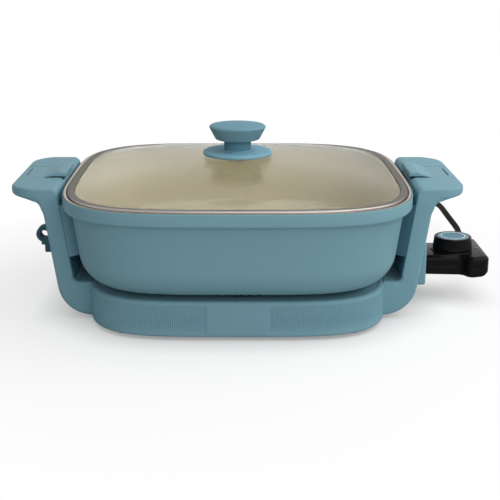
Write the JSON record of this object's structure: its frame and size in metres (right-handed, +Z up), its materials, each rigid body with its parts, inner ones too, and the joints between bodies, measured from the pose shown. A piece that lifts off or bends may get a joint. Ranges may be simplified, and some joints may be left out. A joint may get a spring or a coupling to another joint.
{
  "type": "electric skillet",
  "caption": "Square electric skillet: a deep lift-out pan with a domed glass lid, in a cradle base with handled uprights, sliding latches and a plug-in heat control on a mains cord.",
  "frame": {"origin": "on the table, under the middle of the pan", "axes": "+X towards the heat control at the right, +Y towards the back, +Z up"},
  "size_m": [0.4284, 0.4565, 0.1633],
  "materials": {
    "base_plastic": "satin moulded, blue-grey teal",
    "inner_plastic": "satin moulded, darker teal",
    "knob_plastic": "fine matt moulded, teal",
    "pan_coating": "teal coating outside and pale stone ceramic coating inside, over cast aluminium",
    "lid_glass": "clear polished tempered glass",
    "lid_steel": "brushed",
    "steel": "bright plated",
    "element_sheath": "heat darkened sheath",
    "brass": "bright",
    "insulator": "dry matt moulded insulator",
    "hood_plastic": "matt heat-proof moulding",
    "control_plastic": "gloss black",
    "dial_face": "satin printed face",
    "indicator_red": "clear red lens",
    "lamp_glass": "small neon lamp",
    "cord_jacket": "satin flexible black jacket",
    "rubber": "matt",
    "silicone": "matt silicone"
  },
  "bodies": {
    "base": {"base_shell": "base_plastic", "base_well": "inner_plastic", "base_floor": "inner_plastic", "rubber_feet": "rubber", "base_screws": "steel", "upright_screws": "steel", "left_upright": "base_plastic", "right_upright": "base_plastic", "left_liner": "inner_plastic", "right_liner": "inner_plastic", "left_guides": "inner_plastic", "right_guides": "inner_plastic", "storage_loop": "inner_plastic", "pin_guard": "base_plastic", "heat_shield": "steel", "pan_rests": "silicone", "terminal_block": "insulator", "terminal_pins": "steel"},
    "left_latch": {"left_latch": "base_plastic", "left_latch_keeper": "inner_plastic"},
    "right_latch": {"right_latch": "base_plastic", "right_latch_keeper": "inner_plastic"},
    "pan": {"pan_body": "pan_coating", "heating_element": "element_sheath", "element_clips": "steel", "terminal_hood": "hood_plastic", "pan_contacts": "steel"},
    "lid": {"lid_glass": "lid_glass", "lid_band": "lid_steel", "knob_gasket": "silicone", "knob_guard": "knob_plastic", "lid_knob": "knob_plastic", "knob_screw": "steel", "knob_washer": "silicone"},
    "control": {"control_lower": "control_plastic", "control_upper": "control_plastic", "contact_block": "insulator", "contact_sleeves": "brass", "probe_rod": "steel", "thermostat": "insulator", "indicator_lens": "indicator_red", "indicator_lamp": "lamp_glass", "housing_screws": "steel", "strain_relief": "cord_jacket", "power_cord": "cord_jacket", "cord_coil": "cord_jacket", "cord_tie": "rubber", "plug_body": "cord_jacket", "plug_blades": "steel"},
    "dial": {"dial_knob": "control_plastic", "dial_insert": "dial_face", "dial_shaft": "steel"}
  },
  "joints": [
    {"name": "pan_lift", "type": "slide", "parent": "base", "child": "pan", "axis": [0, 0, 1], "range_m": [0, 0.12]},
    {"name": "lid_lift", "type": "slide", "parent": "pan", "child": "lid", "axis": [0, 0, 1], "range_m": [0, 0.15]},
    {"name": "left_latch_slide", "type": "slide", "parent": "base", "child": "left_latch", "axis": [1, 0, 0], "range_m": [0, 0.009]},
    {"name": "right_latch_slide", "type": "slide", "parent": "base", "child": "right_latch", "axis": [-1, 0, 0], "range_m": [0, 0.009]},
    {"name": "control_pull", "type": "slide", "parent": "base", "child": "control", "axis": [1, 0, 0], "range_m": [0, 0.08]},
    {"name": "dial_turn", "type": "hinge", "parent": "control", "child": "dial", "pos_m": [0.20193, 0, 0.0465], "axis": [0, 0, -1], "range_deg": [0, 270]}
  ]
}
